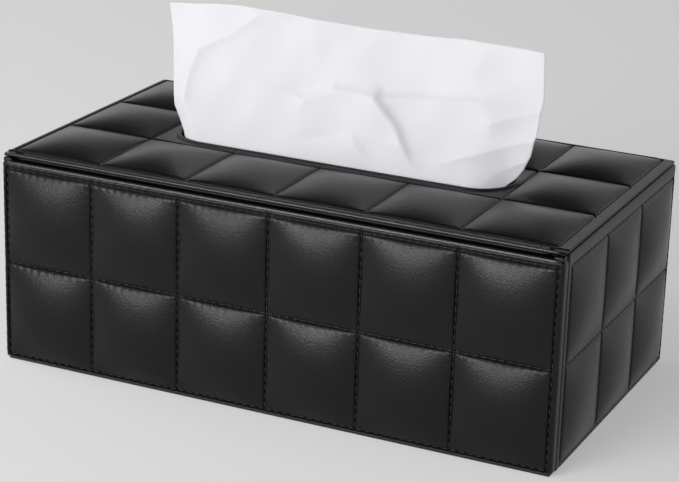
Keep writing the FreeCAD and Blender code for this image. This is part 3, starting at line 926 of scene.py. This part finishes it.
def wallEndTabs():
    points, faces = [], []
    steps = np.linspace(0, 1, endTab["steps"])
    a, b = np.meshgrid(steps, steps, indexing="ij")
    for side in ("left_board", "right_board"):
        low, high = nodeBox(side)
        sign = 1 if low[0] > 0 else -1
        inner, outer = sorted(np.abs([low[0], high[0]]))
        base = np.array([inner - endTab["inner"], low[1] - endTab["front"], high[2] - endTab["drop"]])
        top = np.array([outer + endTab["outer"], low[1] - endTab["back"], high[2] + endTab["rise"]])
        for axis in range(3):
            first, second = (k for k in range(3) if k != axis)
            for level in (0.0, 1.0):
                share = np.full((a.size, 3), level)
                share[:, first], share[:, second] = a.ravel(), b.ravel()
                block = base + (top - base) * share
                core = np.clip(block, base + endTab["round"], top - endTab["round"])
                away = block - core
                length = np.maximum(np.linalg.norm(away, axis=1, keepdims=True), nearZero)
                block = core + away / length * endTab["round"]
                block[:, 0] *= sign
                faces += gridFaces(np.arange(a.size).reshape(a.shape) + len(points))
                points += list(block)
    piece = makePiece("wall_end_tabs", points, faces, edgeLeather)
    weld(piece)
    refine(piece)
    enter(piece, "box")
wallEndTabs()
print("rim, spine, welts and end tabs made")


# Standing tissue: foot along the slot's front edge, leaning back, with soft creases drawn from listed runs
sheet = {"columns": 200, "rows": 110, "top": 155.0, "footGap": 0.2, "slotLevel": 97.0, "tuck": 2,
         "clearance": 0.75, "turnShare": 0.95, "turnPower": 6, "unroll": 13.0, "topY": 3.0, "lean": 1.35,
         "edgeFrom": 120, "edgeReach": 35, "edgePower": 1.5, "freeReach": 12, "thick": 0.22,
         "leftEdge": ((72.8, -70.0), (92.0, -72.0), (98.0, -74.0), (101.0, -76.0), (105.0, -78.5),
                      (109.0, -80.6), (119.0, -81.6), (133.0, -83.6), (155.0, -87.2)),
         "rightEdge": ((72.8, 70.0), (92.0, 76.0), (97.0, 79.0), (101.0, 83.5), (106.0, 87.0), (112.0, 89.6),
                       (121.0, 91.2), (135.0, 92.0), (155.0, 90.2)),
         "topEdge": ((-87.2, -1.0), (-74.0, 0.2), (-61.0, 1.8), (-50.0, 2.2), (-32.0, 1.4), (-17.0, 0.3),
                     (7.0, -0.8), (31.0, -0.8), (55.0, 0.3), (72.0, 0.3), (90.2, -0.2))}
# each crease: its run as (along, height) points, how far it stands out, its reach to either side
creases = (
    (((-43, 153), (-55, 144), (-70, 136), (-74, 124), (-75, 114)), 1.5, 3.5, 9.0),
    (((-75, 114), (-70, 105), (-67, 97)), 1.2, 2.5, 5.0),
    (((-16, 121), (-3, 127.5), (18, 127), (41, 128.5), (67, 131)), 2.4, 1.8, 12.0),
    (((18, 126.5), (29, 116), (38, 101.5), (47, 98)), 3.4, 1.5, 10.0),
    (((71, 124), (82, 128), (92, 131)), 1.5, 2.0, 4.0),
    (((51, 104), (62, 109), (84, 117), (91, 119)), 1.9, 2.2, 6.0),
    (((-54, 125.5), (-37, 124.5), (-19, 122)), 1.0, 3.0, 6.0),
    (((70, 98), (77, 104), (86, 108.5)), 0.9, 2.5, 4.0),
    (((-20, 156), (-12, 140), (-16, 128)), 0.6, 7.0, 9.0),
    (((66, 131), (60, 142), (64, 155)), 0.5, 8.0, 10.0))
flap = {"left": (-36, 98), "peak": (9, 111), "foot": (27, 96), "slope": 0.5, "steep": 1.1, "height": 3.6}
sway = {"depth": 2.2, "length": 34, "phase": 0.6}
ripple = {"broad": 0.5, "broadLengths": (9, 13, 17), "fine": 0.25, "fineLengths": (4.1, 6.5)}


def polylineSide(x, z, run):  # distance from a run of points, and which side of it
    best = np.full(x.shape, far)
    side = np.zeros(x.shape)
    for (x0, z0), (x1, z1) in zip(run[:-1], run[1:]):
        dx, dz = x1 - x0, z1 - z0
        share = np.clip(((x - x0) * dx + (z - z0) * dz) / (dx * dx + dz * dz), 0, 1)
        gap = np.hypot(x - x0 - share * dx, z - z0 - share * dz)
        cross = (dx * (z - z0) - dz * (x - x0)) / math.hypot(dx, dz)
        side = np.where(gap < best, np.clip(cross / np.maximum(gap, tiny), -1, 1), side)
        best = np.minimum(best, gap)
    return best, side


def creaseField(x, z):
    lift = np.zeros(x.shape)
    for run, height, reachLeft, reachRight in creases:
        gap, side = polylineSide(x, z, run)
        reach = reachRight + (reachLeft - reachRight) * (side + 1) / 2
        lift += height * np.exp(-gap / reach)
    return lift


def flapField(x, z):  # a facet that stands out below one line and left of another
    (x0, z0), (x1, z1), (x2, z2) = flap["left"], flap["peak"], flap["foot"]
    below = ((x - x0) * (z1 - z0) - (z - z0) * (x1 - x0)) / math.hypot(x1 - x0, z1 - z0)
    inside = ((x2 - x1) * (z1 - z) - (z1 - z2) * (x - x1)) / math.hypot(x2 - x1, z2 - z1)
    depth = np.minimum(below * flap["slope"], inside * flap["steep"])
    return flap["height"] * (1 - np.exp(-np.clip(depth, 0, None) / flap["height"]))


def rippleField(x, z):
    first, second, third = ripple["broadLengths"]
    broad = ripple["broad"] * np.sin(x / first + z / second) * np.sin(z / third)
    first, second = ripple["fineLengths"]
    return broad + ripple["fine"] * np.sin(x / first - z / second)


def standingSheet():
    bottom = nodeBox("tissue_sheet")[0][2]
    level, below, foot = sheet["slotLevel"], sheet["slotLevel"] - sheet["tuck"], bottom + sheet["footGap"]
    radius = slot["width"] / 2 - sheet["clearance"]
    straight = (slot["length"] - slot["width"]) / 2
    shares = [np.linspace(0, 1, sheet[key]) for key in ("columns", "rows")]
    across, height = np.meshgrid(*shares, indexing="ij")
    z = foot + (sheet["top"] - foot) * height
    left, right = (np.interp(z, *np.array(sheet[key]).T) for key in ("leftEdge", "rightEdge"))
    x = left + (right - left) * across
    nearTop = np.clip((z - sheet["edgeFrom"]) / sheet["edgeReach"], 0, 1) ** sheet["edgePower"]
    z = z + np.interp(x, *np.array(sheet["topEdge"]).T) * nearTop
    beyond = np.clip(np.abs(x) - straight, 0, None)
    power = sheet["turnPower"]
    beyond = beyond / (1 + (beyond / (sheet["turnShare"] * radius)) ** power) ** (1 / power)
    turnBack = radius - np.sqrt(radius ** 2 - beyond ** 2)
    rise = np.clip((z - level) / (sheet["top"] - level), 0, 1)
    fall = np.clip((below - z) / (below - bottom), 0, 1)
    topY = sheet["topY"] + sway["depth"] * np.sin(x / sway["length"] + sway["phase"]) * rise
    frontY = slotMiddleY - radius
    y = frontY + (topY - frontY) * (1 - (1 - rise) ** sheet["lean"])
    y = y + turnBack * np.exp(-np.clip(z - level, 0, None) / sheet["unroll"])
    y = y + (slotMiddleY - y) * (fall * fall * (3 - 2 * fall))
    free = np.clip((z - level) / sheet["freeReach"], 0, 1)
    y += (rippleField(x, z) - creaseField(x, z) - flapField(x, z)) * free
    points = np.stack([x, y, z], axis=-1).reshape(-1, 3)
    faces = gridFaces(np.arange(x.size).reshape(x.shape))
    piece = makePiece("standing_tissue", points, faces, tissuePaper)
    cutArea = sum(face.area for face in piece.data.polygons)
    thicken(piece, sheet["thick"], 0.0)
    enter(piece, "tissue", "tissue_sheet")
    print("standing tissue area", round(cutArea * 1e4, 1), "cm2")


standingSheet()


# Folded tissues in the box, one leaf repeated up the stack
leaves = {"count": 46, "shift": 0.7, "seed": 11, "fill": 0.94, "foldPoints": 7, "looseEdge": 0.3,
          "endLength": 0.4, "endPinch": 0.75, "lift": 0.02}


def foldedLeaf(name, half, thick):  # one folded tissue: rounded fold at the front, loose edges behind
    middle = thick / 2
    front = -half[1] + middle
    profile = [(half[1], thick), (front, thick)]
    profile += [(front - middle * math.sin(t), middle + middle * math.cos(t))
                for t in np.linspace(0, math.pi, leaves["foldPoints"])[1:-1]]
    profile += [(front, 0), (half[1], 0), (half[1] - leaves["looseEdge"], middle)]
    inside = half[0] - leaves["endLength"]
    ends = ((-half[0], leaves["endPinch"]), (-inside, 1), (inside, 1), (half[0], leaves["endPinch"]))
    points = [(x, y, middle + (z - middle) * pinch) for x, pinch in ends for y, z in profile]
    piece = makePiece(name, points, tubeFaces(np.arange(len(points)).reshape(len(ends), -1)), stackPaper)
    weld(piece)
    return piece


def leafTree():
    sockets = (("Count", "Int"), ("Rise", "Float"), ("Shift", "Float"), ("Seed", "Int"), ("Paint", "Material"))
    tree, start = newTree("foldedStack", sockets)
    upward = addNode(tree, "ShaderNodeCombineXYZ")
    column = addNode(tree, "GeometryNodeMeshLine")
    negative = addNode(tree, "ShaderNodeMath", {1: -1.0}, operation="MULTIPLY")
    least = addNode(tree, "ShaderNodeCombineXYZ")
    most = addNode(tree, "ShaderNodeCombineXYZ")
    stray = addNode(tree, "FunctionNodeRandomValue", data_type="FLOAT_VECTOR")
    loose = addNode(tree, "GeometryNodeSetPosition")
    placed = addNode(tree, "GeometryNodeInstanceOnPoints")
    wire(tree, (
        (start, "Rise", upward, "Z"), (start, "Count", column, "Count"), (upward, 0, column, "Offset"),
        (start, "Shift", negative, 0), (negative, 0, least, "X"), (negative, 0, least, "Y"),
        (start, "Shift", most, "X"), (start, "Shift", most, "Y"), (least, 0, stray, "Min"),
        (most, 0, stray, "Max"), (start, "Seed", stray, "Seed"), (column, "Mesh", loose, "Geometry"),
        (stray, "Value", loose, "Offset"), (loose, "Geometry", placed, "Points"),
        (start, "Geometry", placed, "Instance")))
    finishTree(tree, start, placed)
    return tree


def foldedTissues():
    low, high = nodeBox("tissue_stack")
    half = (high - low)[:2] / 2 - leaves["shift"]
    rise = (high[2] - low[2]) / leaves["count"]
    piece = foldedLeaf("folded_tissues", half, rise * leaves["fill"])
    applyTree(piece, leafTree(), {"Count": leaves["count"], "Rise": rise * mm, "Shift": leaves["shift"] * mm,
                                  "Seed": leaves["seed"], "Paint": stackPaper})
    writePoints(piece.data, readPoints(piece.data) + np.array([0, 0, low[2] + leaves["lift"]]))
    enter(piece, "box", "tissue_stack")
foldedTissues()
print("tissues made")


# Lining cloth, felt and the pieces under the covers
lining = {"round": 0.22, "step": 6.0, "margin": 1.5, "edgeShare": 0.35}


def clothPanel(name, node, material):
    low, high = nodeBox(node)
    spans = high - low
    thin = int(np.argmin(spans))
    wide = [k for k in range(3) if k != thin]
    lines = []
    for k in wide:
        count = max(3, round(spans[k] / lining["step"]))
        inside = np.linspace(low[k] + lining["margin"], high[k] - lining["margin"], count)
        lines.append(np.array([low[k], low[k] + lining["round"], *inside, high[k] - lining["round"], high[k]]))
    a, b = np.meshgrid(*lines, indexing="ij")
    onEdge = (a == lines[0][0]) | (a == lines[0][-1]) | (b == lines[1][0]) | (b == lines[1][-1])
    pressed = np.where(onEdge, spans[thin] * lining["edgeShare"], 0.0).ravel()
    sides = []
    for level, towards in ((low[thin], 1), (high[thin], -1)):
        side = np.zeros((a.size, 3))
        side[:, wide[0]], side[:, wide[1]] = a.ravel(), b.ravel()
        side[:, thin] = level + towards * pressed
        sides.append(side)
    piece = makePiece(name, np.vstack(sides), slabFaces(np.arange(a.size).reshape(a.shape)), material)
    weld(piece)
    enter(piece, "box", node)


for side in ("front", "rear", "left", "right"):
    clothPanel(side + "_cloth", side + "_lining", liningCloth)
clothPanel("floor_cloth", "base_lining", liningCloth)
clothPanel("base_felt_sheet", "base_felt", baseFelt)

lidCloth = {"hem": 0.12, "rings": 8, "points": 220, "slotGap": 0.3, "edgeLift": 0.2, "underTop": 0.15,
            "thick": 0.5, "turnUp": 0.005, "slotArea": 0.0052}  # the last two in metres


def lidClothPanel():  # lining of the lid, turned up over the edge of its board
    low, high = nodeBox("lid_lining")
    boardTop = nodeBox("lid_board")[1][2]
    count = lidCloth["points"]
    half = high[:2] + lidCloth["hem"]
    hole = [slot[key] + 2 * slot["trim"] + lidCloth["slotGap"] for key in ("length", "width")]
    rays = np.array([stadiumPoint(k / count, *hole) for k in range(count)])
    inner = rays + np.array([0, slotMiddleY])
    rays = rays / np.linalg.norm(rays, axis=1, keepdims=True)
    reach = []
    for start, ray in zip(inner, rays):
        moving = [k for k in (0, 1) if abs(ray[k]) > nearZero]
        steps = [(math.copysign(half[k], ray[k]) - start[k]) / ray[k] for k in moving]
        reach.append(min(s for s in steps if s > 0))
    edge = inner + rays * np.array(reach)[:, None]
    for corner in ((-1, -1), (-1, 1), (1, -1), (1, 1)):
        place = half * np.array(corner)
        edge[np.argmin(np.linalg.norm(edge - place, axis=1))] = place
    rings = [np.column_stack([inner + (edge - inner) * k / lidCloth["rings"], np.full(count, low[2])])
             for k in range(lidCloth["rings"] + 1)]
    rings[-1][:, 2] += lidCloth["edgeLift"]
    rings.append(np.column_stack([edge, np.full(count, boardTop - lidCloth["underTop"])]))
    index = np.arange(len(rings) * count).reshape(len(rings), count)
    faces = gridFaces(np.hstack([index, index[:, :1]]))
    piece = makePiece("lid_cloth", np.vstack(rings), faces, liningCloth)
    weld(piece)
    thicken(piece, lidCloth["thick"])
    enter(piece, "lid", "lid_lining")


lidClothPanel()

underPieces = {side + "_board": pressedBoard for side in ("front", "rear", "left", "right", "base", "lid")}
underPieces.update(wall_magnets=magnetNickel, lid_keepers=keeperSteel)
for name, material in underPieces.items():
    nodes[name].data.materials.clear()
    nodes[name].data.materials.append(material)
print("lining, felt and boards made")


# Stage: pale floor, soft light, the camera of the photograph
stage = {"floor": 6.0, "floorColour": (0.95, 0.95, 0.95), "rough": 0.9, "shine": 0.1, "lift": 0.34}
lampAim = (0, -0.05, 0.06)  # of two lamps
lamps = {"front": {"place": (-0.46, -1.50, 0.48), "aim": lampAim, "size": (1.0, 0.42), "power": 16.5},
         "upper": {"place": (-0.50, -1.05, 1.30), "aim": lampAim, "size": (0.9, 0.5), "power": 3.5},
         "side": {"place": (-1.55, -0.15, 1.05), "aim": (0, 0, 0), "size": (1.1, 0.8), "power": 6.5}}
skyStops = ((0.0, 1.0), (0.2, 0.92), (0.37, 0.7), (0.52, 0.12), (0.7, 0.05), (1.0, 0.05))  # light by height
skyTint = 1.02  # of its blue
view = {"azimuth": 24.895, "elevation": 19.405, "roll": 1.74, "distance": 1008.697,
        "target": (0.047, 0.0, 56.95), "focal": 2272.511, "width": 679, "sensor": 36, "clip": (0.01, 50)}
def layFloor():
    mesh = bpy.data.meshes.new("floor")
    half = stage["floor"] / 2
    corners = [(-half, -half, 0), (half, -half, 0), (half, half, 0), (-half, half, 0)]
    mesh.from_pydata(corners, [], [(0, 1, 2, 3)])
    floor = bpy.data.objects.new("floor", mesh)
    bpy.context.scene.collection.objects.link(floor)
    material, tree, shader = blankMaterial("paleFloor")
    setInputs(shader, {"Base Color": (*stage["floorColour"], 1), "Roughness": stage["rough"],
                       "Specular IOR Level": stage["shine"]})
    path = addNode(tree, "ShaderNodeLightPath")
    seen = path.outputs["Is Camera Ray"]
    for ray in ("Is Glossy Ray", "Is Transmission Ray"):
        either = addNode(tree, "ShaderNodeMath", operation="MAXIMUM")
        tree.links.new(seen, either.inputs[0])
        tree.links.new(path.outputs[ray], either.inputs[1])
        seen = either.outputs[0]
    lift = addNode(tree, "ShaderNodeMath", {1: stage["lift"]}, operation="MULTIPLY")
    tree.links.new(seen, lift.inputs[0])
    white = addNode(tree, "ShaderNodeEmission", {"Color": (1, 1, 1, 1), "Strength": 1.0})
    blend = addNode(tree, "ShaderNodeMixShader")
    wire(tree, ((lift, 0, blend, "Fac"), (shader, 0, blend, 1), (white, 0, blend, 2),
                (blend, 0, tree.nodes["Material Output"], "Surface")))
    mesh.materials.append(material)


def hangLamps():
    for name, lamp in lamps.items():
        data = bpy.data.lights.new(name + "_softbox", "AREA")
        data.shape = "RECTANGLE"
        data.size, data.size_y = lamp["size"]
        data.energy = lamp["power"]
        light = bpy.data.objects.new(name + "_softbox", data)
        light.location = lamp["place"]
        aim = Vector(lamp["aim"]) - Vector(lamp["place"])
        light.rotation_euler = aim.to_track_quat("-Z", "Y").to_euler()
        bpy.context.scene.collection.objects.link(light)


def paintWorld():
    world = bpy.data.worlds.new("studio")
    bpy.context.scene.world = world
    world.use_nodes = True
    tree = world.node_tree
    background = tree.nodes["Background"]
    coords = addNode(tree, "ShaderNodeTexCoord")
    split = addNode(tree, "ShaderNodeSeparateXYZ")
    ramp = addNode(tree, "ShaderNodeValToRGB")
    while len(ramp.color_ramp.elements) < len(skyStops):
        ramp.color_ramp.elements.new(0.5)
    for element, (place, level) in zip(ramp.color_ramp.elements, skyStops):
        element.position = place
        element.color = (level, level, level * skyTint, 1)
    wire(tree, ((coords, "Generated", split, 0), (split, "Z", ramp, "Fac"),
                (ramp, "Color", background, "Color")))
    setInputs(background, {"Strength": 1.0})


def setCamera():
    turn, rise, roll = (math.radians(view[key]) for key in ("azimuth", "elevation", "roll"))
    back = Vector((math.sin(turn) * math.cos(rise), -math.cos(turn) * math.cos(rise), math.sin(rise)))
    level = Vector((math.cos(turn), math.sin(turn), 0))
    upright = back.cross(level)
    right = level * math.cos(roll) + upright * math.sin(roll)
    up = upright * math.cos(roll) - level * math.sin(roll)
    data = bpy.data.cameras.new("photoView")
    data.sensor_width = view["sensor"]
    data.lens = view["focal"] / view["width"] * data.sensor_width
    data.clip_start, data.clip_end = view["clip"]
    camera = bpy.data.objects.new("photoView", data)
    bpy.context.scene.collection.objects.link(camera)
    place = (Vector(view["target"]) + back * view["distance"]) * mm
    camera.matrix_world = Matrix((right, up, back)).transposed().to_4x4()
    camera.location = place
    bpy.context.scene.camera = camera


layFloor()
hangLamps()
paintWorld()
setCamera()
bpy.context.scene.view_settings.view_transform = "Standard"
print("stage set")
